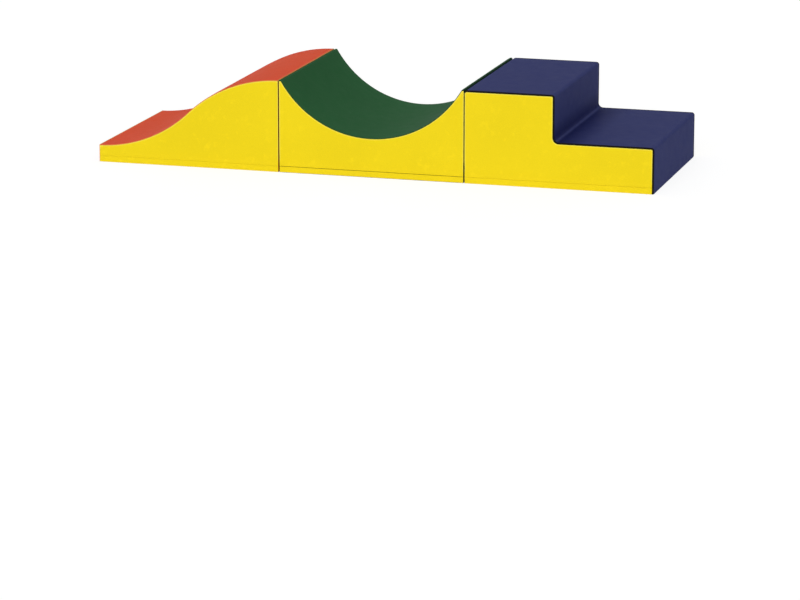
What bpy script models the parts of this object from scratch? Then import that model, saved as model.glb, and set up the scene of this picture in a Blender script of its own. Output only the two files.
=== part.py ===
"""Soft play foam climber: a wave ramp, a valley and two steps, each a foam core in a sewn cover.

Metres, +Z up. The three blocks stand in a row along X with the valley in the middle, and the
origin is on the floor under the valley's centre. The front is the long side towards -Y.
Each cover closes with a zip that is sunk into its base panel.
"""

import math

import bmesh
import bpy
from mathutils import Vector

# Blocks
BLOCK_LENGTH = 0.600
BLOCK_WIDTH = 0.600
BLOCK_HEIGHT = 0.293
RAMP_LOW_HEIGHT = 0.055
VALLEY_FLOOR_HEIGHT = 0.125
VALLEY_LAND = 0.008
UPPER_TREAD = 0.285
LOWER_STEP_HEIGHT = 0.145
STEP_EDGE_RADIUS = 0.009
STEP_FOOT_RADIUS = 0.015

# Covers: the sheet's thickness, the gap between pieces that touch, the height of the seam line on
# the sides, and how far the seam stands open on the valley and on the other two blocks
COVER = 0.0010
GAP = 0.0003
SEAM_HEIGHT = 0.020
OPEN_SEAM = 0.0012
TIGHT_SEAM = 0.0005

# Hook-and-loop strips low on the ends that face each other
STRIP_LENGTH = 0.500
STRIP_WIDTH = 0.038
STRIP_THICKNESS = 0.0010
STRIP_HEIGHT = 0.008

# Zips: rows of teeth on two tapes, a slider with a pull, and a stop at each end. The teeth end
# short of the block's ends by ZIP_MARGIN.
ZIP_MARGIN = 0.040
TAPE_WIDTH = 0.0130
TAPE_THICKNESS = 0.0006
TEETH_WIDTH = 0.0060
TEETH_THICKNESS = 0.0024
STOP_LENGTH = 0.0030
STOP_OVERLAP = 0.0010
SLIDER_LENGTH = 0.0100
SLIDER_PLATE = 0.0010
SLIDER_CHEEK = 0.0008
LUG_THICKNESS = 0.0010
LUG_LENGTH = 0.0026
PIN_RADIUS = 0.0005
PULL_LENGTH = 0.026
PULL_WIDTH = 0.0060
PULL_NECK_WIDTH = 0.0030
PULL_NECK_LENGTH = 0.0050
PULL_THICKNESS = 0.0012
PULL_EYE_RADIUS = 0.0014
PULL_HOLE_RADIUS = 0.0014
PULL_TIP_SHARE = 0.8
PULL_FLOOR_CLEARANCE = 0.0008
PULL_END_CLEARANCE = 0.003
SLIDER_SIDE_CLEARANCE = 0.0015
OVERRUN = 0.002

# Places that follow from the sizes
SEAT = COVER + GAP
STRIP_PAIR = 2 * STRIP_THICKNESS + 3 * GAP
ZIP_LENGTH = BLOCK_LENGTH - 2 * ZIP_MARGIN
BLOCK_PITCH = BLOCK_LENGTH + STRIP_PAIR
PIN_Z = PULL_FLOOR_CLEARANCE + PULL_EYE_RADIUS
PLATE_Z = PIN_Z + PULL_EYE_RADIUS + GAP
TEETH_Z = PLATE_Z + SLIDER_PLATE + GAP
LEDGE_TOP = TEETH_Z + TEETH_THICKNESS
TAPE_Z = LEDGE_TOP + GAP
WELL_CEILING = TAPE_Z + TAPE_THICKNESS + GAP
SLIDER_HALF_WIDTH = TEETH_WIDTH / 2 + GAP + SLIDER_CHEEK
SLIDER_REST_X = (ZIP_LENGTH - SLIDER_LENGTH) / 2 - GAP
WINDOW_HALF_WIDTH = SLIDER_HALF_WIDTH + SLIDER_SIDE_CLEARANCE
WELL_HALF_WIDTH = GAP + TAPE_WIDTH
WELL_HALF_LENGTH = SLIDER_REST_X + PULL_LENGTH + PULL_END_CLEARANCE + COVER
LEDGE = WELL_HALF_WIDTH - WINDOW_HALF_WIDTH

# Counts and angles
ARC_STEPS = 20
CORNER_STEPS = 6
ROUND_STEPS = 24
QUARTER = math.pi / 2
SMOOTH_ANGLE = math.radians(30)

# Colours as they look, red, green and blue from 0 to 1, with roughness and metallic value
YELLOW = (0.94, 0.85, 0.12)
ORANGE = (0.84, 0.34, 0.22)
GREEN = (0.13, 0.38, 0.22)
BLUE = (0.15, 0.16, 0.42)
DARK_GREY = (0.12, 0.12, 0.13)
BLACK = (0.05, 0.05, 0.05)
FOAM_WHITE = (0.88, 0.87, 0.80)
STEEL = (0.70, 0.70, 0.70)
VINYL_ROUGHNESS = 0.45
SOFT_ROUGHNESS = 0.90
METAL_ROUGHNESS = 0.35


def clear_scene():
    for old in list(bpy.data.objects):
        bpy.data.objects.remove(old)


def finish(name, colour, roughness, metallic=0.0):
    """A material of its own for one piece, with its colour turned from looks into light."""
    material = bpy.data.materials.new(name + "_finish")
    material.use_nodes = True
    shader = material.node_tree.nodes["Principled BSDF"]
    linear = [((c + 0.055) / 1.055) ** 2.4 if c > 0.04045 else c / 12.92 for c in colour]
    shader.inputs["Base Color"].default_value = (*linear, 1.0)
    shader.inputs["Roughness"].default_value = roughness
    shader.inputs["Metallic"].default_value = metallic
    return material


# Outlines in the block's own frame: x along the block from its centre, z up from the floor


def arc(centre, radius, start, end, steps):
    """Points on an arc about centre, from the angle start to the angle end."""
    angles = [start + (end - start) * i / steps for i in range(steps + 1)]
    return [(centre[0] + radius * math.cos(a), centre[1] + radius * math.sin(a)) for a in angles]


def rounded(corners, radii):
    """An open line through the corners, with each corner between the first and the last rounded."""
    line = [corners[0]]
    for before, corner, after, radius in zip(corners, corners[1:], corners[2:], radii):
        corner = Vector(corner)
        back = (Vector(before) - corner).normalized()
        ahead = (Vector(after) - corner).normalized()
        half = back.angle(ahead) / 2
        centre = corner + (back + ahead).normalized() * radius / math.sin(half)
        start = corner + back * radius / math.tan(half) - centre
        end = corner + ahead * radius / math.tan(half) - centre
        first = math.atan2(start.y, start.x)
        turn = math.atan2(start.cross(end), start.dot(end))
        line += arc(centre, radius, first, first + turn, CORNER_STEPS)
    return line + [corners[-1]]


def ramp_top(inset, wall):
    """The ramp's wave, low end to tall end: a hollow and a crown of one radius, both level where they
    meet the ends. It lies inset below the true surface, between ends moved in by wall."""
    swing = 2 * math.atan((BLOCK_HEIGHT - RAMP_LOW_HEIGHT) / BLOCK_LENGTH)
    radius = BLOCK_LENGTH / (2 * math.sin(swing))
    low = (-BLOCK_LENGTH / 2, RAMP_LOW_HEIGHT + radius)
    tall = (BLOCK_LENGTH / 2, BLOCK_HEIGHT - radius)
    hollow_start = math.asin(wall / (radius + inset)) - QUARTER
    crown_end = math.asin(wall / (radius - inset)) + QUARTER
    hollow = arc(low, radius + inset, hollow_start, swing - QUARTER, ARC_STEPS)
    crown = arc(tall, radius - inset, swing + QUARTER, crown_end, ARC_STEPS)
    return hollow + crown[1:]


def valley_arc():
    """The radius of the valley's dip, and the height of its centre."""
    half_chord = BLOCK_LENGTH / 2 - VALLEY_LAND
    depth = BLOCK_HEIGHT - VALLEY_FLOOR_HEIGHT
    radius = (half_chord**2 + depth**2) / (2 * depth)
    return radius, VALLEY_FLOOR_HEIGHT + radius


def valley_top(inset, wall):
    """The valley's dip between its two narrow level lands."""
    radius, centre_z = valley_arc()
    reach = math.acos((centre_z - BLOCK_HEIGHT + inset) / (radius + inset))
    dip = arc((0, centre_z), radius + inset, -QUARTER - reach, reach - QUARTER, 2 * ARC_STEPS)
    end = BLOCK_LENGTH / 2 - wall
    top = BLOCK_HEIGHT - inset
    return [(-end, top)] + dip + [(end, top)]


def steps_top(inset, wall, foot):
    """The steps' line from foot up the tall end, over both treads and down the low end to foot."""
    end = BLOCK_LENGTH / 2 - wall
    riser = UPPER_TREAD - BLOCK_LENGTH / 2 - inset
    upper = BLOCK_HEIGHT - inset
    lower = LOWER_STEP_HEIGHT - inset
    corners = [(-end, foot), (-end, upper), (riser, upper), (riser, lower), (end, lower), (end, foot)]
    edge = STEP_EDGE_RADIUS - inset
    return rounded(corners, [edge, edge, STEP_FOOT_RADIUS + inset, edge])


def closed_down(line, foot):
    """A line closed into an outline by going straight down at both ends to the height foot."""
    return [(line[0][0], foot)] + line + [(line[-1][0], foot)]


def rectangle(first_from, first_to, second_from, second_to):
    return [
        (first_from, second_from),
        (first_to, second_from),
        (first_to, second_to),
        (first_from, second_to),
    ]


# Solids


def extruded(name, outline, axis, start, end):
    """A prism on an outline: along Y from an x and z outline, or along Z from an x and y outline."""
    shape = bmesh.new()
    if axis == "Y":
        corners = [(x, start, z) for x, z in outline]
        travel = (0, end - start, 0)
    else:
        corners = [(x, y, start) for x, y in outline]
        travel = (0, 0, end - start)
    face = shape.faces.new([shape.verts.new(corner) for corner in corners])
    grown = bmesh.ops.extrude_face_region(shape, geom=[face])["geom"]
    moved = [element for element in grown if isinstance(element, bmesh.types.BMVert)]
    bmesh.ops.translate(shape, verts=moved, vec=travel)
    bmesh.ops.recalc_face_normals(shape, faces=shape.faces)
    mesh = bpy.data.meshes.new(name)
    shape.to_mesh(mesh)
    shape.free()
    piece = bpy.data.objects.new(name, mesh)
    bpy.context.collection.objects.link(piece)
    return piece


def box(name, x_from, x_to, y_from, y_to, z_from, z_to):
    return extruded(name, rectangle(x_from, x_to, y_from, y_to), "Z", z_from, z_to)


def rod(name, radius, y_from, y_to):
    """A round rod along Y about the origin."""
    return extruded(name, arc((0, 0), radius, 0, 4 * QUARTER, ROUND_STEPS)[:-1], "Y", y_from, y_to)


def combine(piece, others, operation):
    """Joins the others to the piece, or cuts them out of it, and removes them."""
    for other in others:
        change = piece.modifiers.new(other.name, "BOOLEAN")
        change.operation = operation
        change.solver = "EXACT"
        change.object = other
    bpy.context.view_layer.update()
    graph = bpy.context.evaluated_depsgraph_get()
    mesh = bpy.data.meshes.new_from_object(piece.evaluated_get(graph))
    piece.modifiers.clear()
    piece.data = mesh
    for other in others:
        bpy.data.objects.remove(other)
    return piece


def dress(piece, parent, colour, roughness, metallic=0.0):
    """Gives a piece its finish, smooth shading on its round faces, and the parent it moves with."""
    piece.data.materials.clear()
    piece.data.materials.append(finish(piece.name, colour, roughness, metallic))
    piece.data.shade_smooth()
    piece.data.set_sharp_from_angle(angle=SMOOTH_ANGLE)
    piece.parent = parent
    return piece


# Foam cores


def core_width():
    return BLOCK_WIDTH / 2 - SEAT


def zip_recess():
    """The cutter for the recess that the zip's well takes up in a foam core."""
    length = WELL_HALF_LENGTH + GAP
    width = WELL_HALF_WIDTH + GAP
    return box("zip_recess", -length, length, -width, width, SEAT - OVERRUN, WELL_CEILING)


def foam_core(name, outline, parent, on_floor):
    """Foam cut to an outline, with the recess for the zip if it lies on the base panel."""
    core = extruded(name, outline, "Y", -core_width(), core_width())
    if on_floor:
        combine(core, [zip_recess()], "DIFFERENCE")
    return dress(core, parent, FOAM_WHITE, SOFT_ROUGHNESS)


def steps_cores(parent):
    """The steps' foam: a slab as long as the block, and a shorter one glued on it."""
    end = BLOCK_LENGTH / 2 - SEAT
    riser = UPPER_TREAD - BLOCK_LENGTH / 2 - SEAT
    glue = LOWER_STEP_HEIGHT - SEAT
    top = BLOCK_HEIGHT - SEAT
    edge = STEP_EDGE_RADIUS - SEAT
    lower = [(-end, SEAT)] + rounded([(-end, glue), (end, glue), (end, SEAT)], [edge])
    upper = rounded([(-end, glue + GAP), (-end, top), (riser, top), (riser, glue + GAP)], [edge, edge])
    foam_core("steps_lower_slab", lower, parent, True)
    foam_core("steps_upper_slab", upper, parent, False)


# Cover panels


def panel_over(name, outer, inner, parent, colour):
    """A sheet the full width of the block between an outer line and an inner one."""
    sheet = extruded(name, outer + inner[::-1], "Y", -BLOCK_WIDTH / 2, BLOCK_WIDTH / 2)
    return dress(sheet, parent, colour, VINYL_ROUGHNESS)


def end_panel(name, side, height, parent, colour):
    """The sheet that hangs from the top panel's edge to the base panel, at x side -1 or +1."""
    outer = side * BLOCK_LENGTH / 2
    inner = outer - side * COVER
    outline = rectangle(min(outer, inner), max(outer, inner), SEAT, height - SEAT)
    sheet = extruded(name, outline, "Y", -BLOCK_WIDTH / 2, BLOCK_WIDTH / 2)
    return dress(sheet, parent, colour, VINYL_ROUGHNESS)


def side_covers(block, outline, seam, parent):
    """The side panels, and the hem strips below the open seam, on both long sides."""
    end = BLOCK_LENGTH / 2 - SEAT
    hem = rectangle(-end, end, SEAT, SEAM_HEIGHT - seam / 2)
    for place, side in (("front", -1), ("back", 1)):
        faces = sorted((side * BLOCK_WIDTH / 2, side * (BLOCK_WIDTH / 2 - COVER)))
        panel = extruded(f"{block}_side_panel_{place}", outline, "Y", *faces)
        strip = extruded(f"{block}_hem_strip_{place}", hem, "Y", *faces)
        dress(panel, parent, YELLOW, VINYL_ROUGHNESS)
        dress(strip, parent, YELLOW, VINYL_ROUGHNESS)


def base_panel(block, parent):
    """The sheet that the block stands on, with a well turned up in it and a ledge for the zip."""
    sheet = box(
        f"{block}_base_panel",
        -BLOCK_LENGTH / 2,
        BLOCK_LENGTH / 2,
        -BLOCK_WIDTH / 2,
        BLOCK_WIDTH / 2,
        0,
        COVER,
    )
    length, width = WELL_HALF_LENGTH, WELL_HALF_WIDTH
    well = box("well", -length, length, -width, width, 0, LEDGE_TOP)
    combine(sheet, [well], "UNION")
    room = box(
        "room",
        COVER - length,
        length - COVER,
        COVER - width,
        width - COVER,
        -OVERRUN,
        LEDGE_TOP - COVER,
    )
    window = box(
        "window",
        LEDGE - length,
        length - LEDGE,
        -WINDOW_HALF_WIDTH,
        WINDOW_HALF_WIDTH,
        -OVERRUN,
        LEDGE_TOP + OVERRUN,
    )
    combine(sheet, [room, window], "DIFFERENCE")
    return dress(sheet, parent, DARK_GREY, SOFT_ROUGHNESS)


def grip_strip(name, side, parent, colour):
    """A hook or loop strip, low on the end at x side -1 or +1."""
    near = side * (BLOCK_LENGTH / 2 + GAP)
    far = near + side * STRIP_THICKNESS
    outline = rectangle(min(near, far), max(near, far), STRIP_HEIGHT, STRIP_HEIGHT + STRIP_WIDTH)
    strip = extruded(name, outline, "Y", -STRIP_LENGTH / 2, STRIP_LENGTH / 2)
    return dress(strip, parent, colour, SOFT_ROUGHNESS)


# Zips


def zip_rows(block, parent):
    """The two tapes, the two rows of teeth along their inner edges, and the stops at both ends."""
    tape_end = WELL_HALF_LENGTH - GAP
    for place, side in (("front", -1), ("back", 1)):
        inner = side * GAP / 2
        tape = sorted((inner, inner + side * TAPE_WIDTH))
        teeth = sorted((inner, side * TEETH_WIDTH / 2))
        piece = box(
            f"{block}_zip_tape_{place}", -tape_end, tape_end, *tape, TAPE_Z, TAPE_Z + TAPE_THICKNESS
        )
        dress(piece, parent, BLACK, SOFT_ROUGHNESS)
        piece = box(
            f"{block}_zip_teeth_{place}", -ZIP_LENGTH / 2, ZIP_LENGTH / 2, *teeth, TEETH_Z, LEDGE_TOP
        )
        dress(piece, parent, BLACK, SOFT_ROUGHNESS)
    stop_half = TEETH_WIDTH / 2 + STOP_OVERLAP
    for place, side in (("open_end", -1), ("closed_end", 1)):
        near = side * (ZIP_LENGTH / 2 + GAP)
        ends = sorted((near, near + side * STOP_LENGTH))
        stop = box(f"{block}_zip_stop_{place}", *ends, -stop_half, stop_half, PLATE_Z, LEDGE_TOP)
        dress(stop, parent, STEEL, METAL_ROUGHNESS, 1.0)


def zip_slider(block, parent):
    """A plate under the teeth with a cheek on each side of them, and two lugs that hold the pin."""
    half = SLIDER_LENGTH / 2
    plate_z = PLATE_Z - PIN_Z
    teeth_z = TEETH_Z - PIN_Z - GAP
    ledge_z = LEDGE_TOP - PIN_Z
    slider = box(
        f"{block}_zip_slider", -half, half, -SLIDER_HALF_WIDTH, SLIDER_HALF_WIDTH, plate_z, teeth_z
    )
    lug_from = PULL_NECK_WIDTH / 2 + GAP
    lug_to = lug_from + LUG_THICKNESS
    reach = LUG_LENGTH / 2
    fixings = [rod("pin", PIN_RADIUS, -lug_to + LUG_THICKNESS / 2, lug_to - LUG_THICKNESS / 2)]
    for side in (-1, 1):
        cheek = sorted((side * SLIDER_HALF_WIDTH, side * (SLIDER_HALF_WIDTH - SLIDER_CHEEK)))
        lug = sorted((side * lug_from, side * lug_to))
        fixings.append(box("cheek", -half, half, *cheek, plate_z, ledge_z))
        fixings.append(box("lug", -reach, reach, *lug, -reach, teeth_z - SLIDER_PLATE / 2))
    combine(slider, fixings, "UNION")
    dress(slider, parent, STEEL, METAL_ROUGHNESS, 1.0)
    slider.location = (SLIDER_REST_X, 0, PIN_Z)
    return slider


def zip_pull(block, slider):
    """The pull: an eye on the slider's pin, a neck between the lugs, and a wider tongue with a hole."""
    half = PULL_WIDTH / 2
    neck = PULL_NECK_WIDTH / 2
    thick = PULL_THICKNESS / 2
    corners = [
        (0, neck),
        (-PULL_NECK_LENGTH, neck),
        (-PULL_NECK_LENGTH - half, half),
        (-PULL_LENGTH, half),
        (-PULL_LENGTH, -half),
        (-PULL_NECK_LENGTH - half, -half),
        (-PULL_NECK_LENGTH, -neck),
        (0, -neck),
    ]
    tip = half * PULL_TIP_SHARE
    outline = rounded(corners, [GAP, neck, tip, tip, neck, GAP])
    pull = extruded(f"{block}_zip_pull", outline, "Z", -thick, thick)
    combine(pull, [rod("eye", PULL_EYE_RADIUS, -neck, neck)], "UNION")
    bore = rod("bore", PIN_RADIUS + GAP, -half, half)
    hole = extruded(
        "hole",
        arc((2 * PULL_HOLE_RADIUS - PULL_LENGTH, 0), PULL_HOLE_RADIUS, 0, 4 * QUARTER, ROUND_STEPS)[:-1],
        "Z",
        -OVERRUN,
        OVERRUN,
    )
    combine(pull, [bore, hole], "DIFFERENCE")
    return dress(pull, slider, STEEL, METAL_ROUGHNESS, 1.0)


def close_block(block, parent):
    """What every block has under it: the base panel and its zip."""
    base_panel(block, parent)
    zip_rows(block, parent)
    zip_pull(block, zip_slider(block, parent))


# Blocks


def block_frame(name, place):
    """The empty that carries a block's pieces, on the floor under its centre."""
    frame = bpy.data.objects.new(name, None)
    bpy.context.collection.objects.link(frame)
    frame.location = (place * BLOCK_PITCH, 0, 0)
    return frame


def make_ramp():
    frame = block_frame("ramp_block", -1)
    foam_core("ramp_foam_core", closed_down(ramp_top(SEAT, SEAT), SEAT), frame, True)
    panel_over("ramp_top_panel", ramp_top(0, 0), ramp_top(COVER, 0), frame, ORANGE)
    end_panel("ramp_low_end_panel", -1, RAMP_LOW_HEIGHT, frame, ORANGE)
    end_panel("ramp_tall_end_panel", 1, BLOCK_HEIGHT, frame, ORANGE)
    side = closed_down(ramp_top(SEAT, SEAT), SEAM_HEIGHT + TIGHT_SEAM / 2)
    side_covers("ramp", side, TIGHT_SEAM, frame)
    close_block("ramp", frame)
    grip_strip("ramp_hook_strip", 1, frame, BLACK)


def make_valley():
    frame = block_frame("valley_block", 0)
    foam_core("valley_foam_core", closed_down(valley_top(SEAT, SEAT), SEAT), frame, True)
    panel_over("valley_top_panel", valley_top(0, 0), valley_top(COVER, 0), frame, GREEN)
    end_panel("valley_left_end_panel", -1, BLOCK_HEIGHT, frame, GREEN)
    end_panel("valley_right_end_panel", 1, BLOCK_HEIGHT, frame, GREEN)
    side = closed_down(valley_top(SEAT, SEAT), SEAM_HEIGHT + OPEN_SEAM / 2)
    side_covers("valley", side, OPEN_SEAM, frame)
    close_block("valley", frame)
    grip_strip("valley_loop_strip", -1, frame, BLACK)
    grip_strip("valley_hook_strip", 1, frame, BLACK)


def make_steps():
    frame = block_frame("steps_block", 1)
    steps_cores(frame)
    panel_over("steps_band", steps_top(0, 0, SEAT), steps_top(COVER, COVER, SEAT), frame, BLUE)
    side_covers("steps", steps_top(SEAT, SEAT, SEAM_HEIGHT + TIGHT_SEAM / 2), TIGHT_SEAM, frame)
    close_block("steps", frame)
    grip_strip("steps_loop_strip", -1, frame, BLACK)


clear_scene()
make_ramp()
make_valley()
make_steps()
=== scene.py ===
"""Soft play foam climber as it looks: a wave ramp, a valley and two steps in sewn vinyl covers.

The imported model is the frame. Each section below makes one piece, or one group of like pieces, in
the order in which a block is put together: foam, cover, seams, base, zip, hook-and-loop strips.
"""

import math

import bmesh
import bpy
import numpy as np
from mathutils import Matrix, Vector
from mathutils import noise as gentle
from mathutils.geometry import delaunay_2d_cdt
from mathutils.kdtree import KDTree


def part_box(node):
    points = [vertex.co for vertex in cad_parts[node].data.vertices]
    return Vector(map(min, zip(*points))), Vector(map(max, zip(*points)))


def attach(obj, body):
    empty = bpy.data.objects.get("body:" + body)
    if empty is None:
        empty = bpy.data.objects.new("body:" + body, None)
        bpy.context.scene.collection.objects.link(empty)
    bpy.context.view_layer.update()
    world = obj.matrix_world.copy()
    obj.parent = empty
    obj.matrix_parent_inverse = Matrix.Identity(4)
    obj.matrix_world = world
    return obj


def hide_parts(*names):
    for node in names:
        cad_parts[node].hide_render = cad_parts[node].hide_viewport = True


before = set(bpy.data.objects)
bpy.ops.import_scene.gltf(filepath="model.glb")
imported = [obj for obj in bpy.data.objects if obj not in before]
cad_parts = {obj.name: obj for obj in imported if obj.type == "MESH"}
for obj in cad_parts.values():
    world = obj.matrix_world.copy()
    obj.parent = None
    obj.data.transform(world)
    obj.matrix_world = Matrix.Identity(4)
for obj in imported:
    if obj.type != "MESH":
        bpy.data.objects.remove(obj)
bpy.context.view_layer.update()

# Camera
# It stands far back with a long lens, to the right of the front and a little above the blocks,
# with the row of blocks in the upper part of the frame.
CAMERA_AIM = Vector((0.5341, -1.8123, 0.0))
CAMERA_DISTANCE = 10.2139
CAMERA_AZIMUTH = math.radians(16.18)
CAMERA_ELEVATION = math.radians(13.80)
CAMERA_LENS = 169.455
CAMERA_REACH = 4 * CAMERA_DISTANCE
QUARTER = math.pi / 2

camera = bpy.data.objects.new("camera", bpy.data.cameras.new("camera"))
bpy.context.collection.objects.link(camera)
bpy.context.scene.camera = camera
camera.data.lens = CAMERA_LENS
camera.data.clip_end = CAMERA_REACH
camera.rotation_euler = (QUARTER - CAMERA_ELEVATION, 0, CAMERA_AZIMUTH)
back = Vector((math.sin(CAMERA_AZIMUTH), -math.cos(CAMERA_AZIMUTH), math.tan(CAMERA_ELEVATION)))
camera.location = CAMERA_AIM + back.normalized() * CAMERA_DISTANCE

# Floor and light
# A seamless white sheet of paper, an even white room, one wide soft lamp low in front, so that the
# upright faces are lit more than the treads, and a weaker one behind. The paper keeps a soft shadow.
SQUARE = ((-1, -1), (1, -1), (1, 1), (-1, 1))
FLOOR_REACH = 40.0
FLOOR_DROP = 0.0002
PAPER_GLOW = 0.82
PAPER_SHADED = (0.30, 0.30, 0.30, 1.0)
PAPER_WHITE = (0.80, 0.80, 0.80, 1.0)
ROOM_LIGHT = 0.50
KEY_LIGHT = 2.05
KEY_SPREAD = math.radians(50)
KEY_AZIMUTH = math.radians(8)
KEY_ELEVATION = math.radians(18)
FILL_LIGHT = 0.8
FILL_AZIMUTH = math.radians(188)
FILL_ELEVATION = math.radians(8)


def add_node(tree, kind, inputs=(), **settings):
    """A shader node with its settings, and its inputs linked to other nodes or set to plain values."""
    node = tree.nodes.new(kind)
    for key, value in settings.items():
        setattr(node, key, value)
    for key, value in dict(inputs).items():
        if isinstance(value, bpy.types.NodeSocket):
            tree.links.new(value, node.inputs[key])
        else:
            node.inputs[key].default_value = value
    return node


def combined(tree, operation, first, second):
    return add_node(tree, "ShaderNodeMath", {0: first, 1: second}, operation=operation).outputs[0]


def seen_directly(tree):
    """1 for what the camera sees, straight or by a mirror or through glass, and 0 for what lights."""
    path = tree.nodes.new("ShaderNodeLightPath").outputs
    seen = path["Is Camera Ray"]
    for ray in ("Is Glossy Ray", "Is Transmission Ray"):
        seen = combined(tree, "MAXIMUM", seen, path[ray])
    return seen


def paper():
    material = bpy.data.materials.new("white_paper")
    material.use_nodes = True
    tree = material.node_tree
    tree.nodes.clear()
    glow = add_node(tree, "ShaderNodeEmission", {"Strength": PAPER_GLOW})
    shade = add_node(tree, "ShaderNodeBsdfDiffuse", {"Color": PAPER_SHADED})
    seen = add_node(tree, "ShaderNodeAddShader", {0: glow.outputs[0], 1: shade.outputs[0]})
    plain = add_node(tree, "ShaderNodeBsdfDiffuse", {"Color": PAPER_WHITE})
    links = {0: seen_directly(tree), 1: plain.outputs[0], 2: seen.outputs[0]}
    mix = add_node(tree, "ShaderNodeMixShader", links)
    add_node(tree, "ShaderNodeOutputMaterial", {"Surface": mix.outputs[0]})
    return material


def light_room():
    world = bpy.data.worlds.new("white_room")
    world.use_nodes = True
    bpy.context.scene.world = world
    tree = world.node_tree
    tree.nodes.clear()
    level = add_node(tree, "ShaderNodeMapRange", {"Value": seen_directly(tree), "To Min": ROOM_LIGHT})
    room = add_node(tree, "ShaderNodeBackground", {"Strength": level.outputs[0]})
    add_node(tree, "ShaderNodeOutputWorld", {"Surface": room.outputs[0]})
    for name, energy, elevation, azimuth, mirrored in (
        ("soft_key", KEY_LIGHT, KEY_ELEVATION, KEY_AZIMUTH, True),
        ("soft_fill", FILL_LIGHT, FILL_ELEVATION, FILL_AZIMUTH, False),
    ):
        lamp = bpy.data.lights.new(name, "SUN")
        lamp.energy = energy
        lamp.angle = KEY_SPREAD
        stand = bpy.data.objects.new(name, lamp)
        stand.rotation_euler = (QUARTER - elevation, 0, azimuth)
        stand.visible_glossy = mirrored
        bpy.context.collection.objects.link(stand)
    bpy.context.scene.view_settings.view_transform = "Standard"


def lay_floor():
    mesh = bpy.data.meshes.new("floor")
    corners = [(x * FLOOR_REACH, y * FLOOR_REACH, -FLOOR_DROP) for x, y in SQUARE]
    mesh.from_pydata(corners, [], [range(len(corners))])
    mesh.materials.append(paper())
    floor = bpy.data.objects.new("floor", mesh)
    bpy.context.collection.objects.link(floor)


light_room()
lay_floor()

# Foam cores
# Firm upholstery foam, cut to the block's outline with a hot wire, which rounds the edges a little
# and leaves faint drag lines across the cut. The steps are two slabs, glued together.
BLOCKS = ("ramp", "valley", "steps")
GRID = 0.0055
CORNER_STEPS = 6
CORE_EDGE = {"ramp": 0.003, "valley": 0.003, "steps": 0.006}
CORE_EDGE_STEPS = 4
VALLEY_LAND = 0.008
VALLEY_FOLD = 0.003
CORE_FOLD = 0.0045
EDGE_RADIUS = 0.009
FOOT_RADIUS = 0.015
ROUNDING = 1e-4
SAME_POINT = 1e-7
SQUARE_TURN = 0.5
PIECE_GAP = 0.0003
ROOM_END_GAP = 2 * PIECE_GAP
ROOM_SIDE_GAP = 1.5 * PIECE_GAP
FOAM_COLOUR = (0.76, 0.74, 0.63, 1.0)
FOAM_DARK = (0.66, 0.63, 0.50, 1.0)
FOAM_ROUGHNESS = 0.95
FOAM_GLOSS = 0.1
FOAM_CELL_SCALE = 900.0
FOAM_CELL_SPAN = (0.35, 0.70)
FOAM_CELL_DEPTH = 0.0006
DRAG_LINE_SCALE = 260.0
DRAG_LINE_WANDER = 3.0
DRAG_LINE_DEPTH = 0.0003
SOFT_DETAIL = 2.0
FINE_DETAIL = 3.0


def box_sides(node):
    """A node's reach along x, y and z as three pairs."""
    low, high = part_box(node)
    return tuple(zip(low, high))


LENGTH = box_sides("valley_base_panel")[0][1] * 2
WIDTH = box_sides("valley_base_panel")[1][1] * 2
HEIGHT = box_sides("valley_top_panel")[2][1]
SEAT = box_sides("valley_foam_core")[2][0]
COVER = box_sides("valley_base_panel")[0][1] + box_sides("valley_left_end_panel")[0][1]
VALLEY_FLOOR = box_sides("valley_top_panel")[2][0] + COVER
RAMP_LOW = box_sides("ramp_low_end_panel")[2][1] + SEAT
LOWER_STEP = box_sides("steps_lower_slab")[2][1] + SEAT
UPPER_TREAD = box_sides("steps_upper_slab")[0][1] - box_sides("steps_upper_slab")[0][0] + 2 * SEAT
CENTRE = {block: sum(box_sides(f"{block}_base_panel")[0]) / 2 for block in BLOCKS}


def arc(centre, radius, start, end):
    """Points on an arc from the angle start to the angle end, no further apart than the grid."""
    steps = max(CORNER_STEPS, math.ceil(abs(end - start) * radius / GRID))
    angles = [start + (end - start) * i / steps for i in range(steps + 1)]
    return [Vector((centre[0] + radius * math.cos(a), centre[1] + radius * math.sin(a))) for a in angles]


def refined(line):
    """The line with points added on its straight stretches, no further apart than the grid."""
    fine = [Vector(line[0])]
    for before, after in zip(line, line[1:]):
        before, after = Vector(before), Vector(after)
        steps = math.ceil((after - before).length / GRID - ROUNDING)
        fine += [before.lerp(after, (i + 1) / steps) for i in range(steps)]
    return fine


def rounded(corners, radii):
    """An open line through the corners, with each corner between the first and the last rounded."""
    line = [Vector(corners[0])]
    for before, corner, after, radius in zip(corners, corners[1:], corners[2:], radii):
        corner = Vector(corner)
        back = (Vector(before) - corner).normalized()
        ahead = (Vector(after) - corner).normalized()
        half = back.angle(ahead) / 2
        centre = corner + (back + ahead).normalized() * radius / math.sin(half)
        start = corner + back * radius / math.tan(half) - centre
        end = corner + ahead * radius / math.tan(half) - centre
        first = math.atan2(start.y, start.x)
        line += arc(centre, radius, first, first + math.atan2(start.cross(end), start.dot(end)))
    return line + [Vector(corners[-1])]


def ramp_line(inset=0.0, wall=0.0):
    """The wave from the low end to the tall end: a hollow and a crown of one radius."""
    swing = 2 * math.atan((HEIGHT - RAMP_LOW) / LENGTH)
    radius = LENGTH / (2 * math.sin(swing))
    low = (-LENGTH / 2, RAMP_LOW + radius)
    tall = (LENGTH / 2, HEIGHT - radius)
    hollow_start = math.asin(wall / (radius + inset)) - QUARTER
    crown_end = math.asin(wall / (radius - inset)) + QUARTER
    hollow = arc(low, radius + inset, hollow_start, swing - QUARTER)
    return hollow + arc(tall, radius - inset, swing + QUARTER, crown_end)[1:]


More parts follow.
